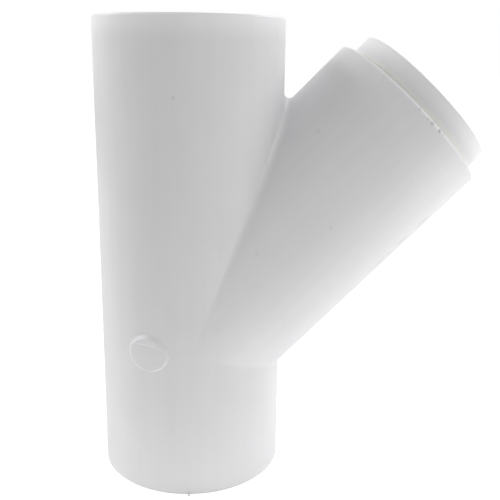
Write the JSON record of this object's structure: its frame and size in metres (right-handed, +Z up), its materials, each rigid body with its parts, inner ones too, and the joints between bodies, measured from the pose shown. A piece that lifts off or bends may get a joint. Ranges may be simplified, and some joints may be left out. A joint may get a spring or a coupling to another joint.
{
  "type": "lateral wye pipe fitting",
  "caption": "Straight pipe fitting with a side branch at 45 degrees, plain round sockets at both run ends, and a short reducer bush standing proud of the branch mouth.",
  "frame": {"origin": "centre of the lower mouth, on the run's axis and in the plane of the rim that the fitting stands on", "axes": "+Z up the run, +X to the side that the branch leans to, so that the branch's axis lies in the XZ plane"},
  "size_m": [0.0946, 0.0462, 0.113],
  "materials": {
    "body_pvc": "satin moulded white",
    "bush_pvc": "satin moulded white"
  },
  "bodies": {
    "root": {"wye_body": "body_pvc", "reducer_bush": "bush_pvc"}
  },
  "joints": []
}
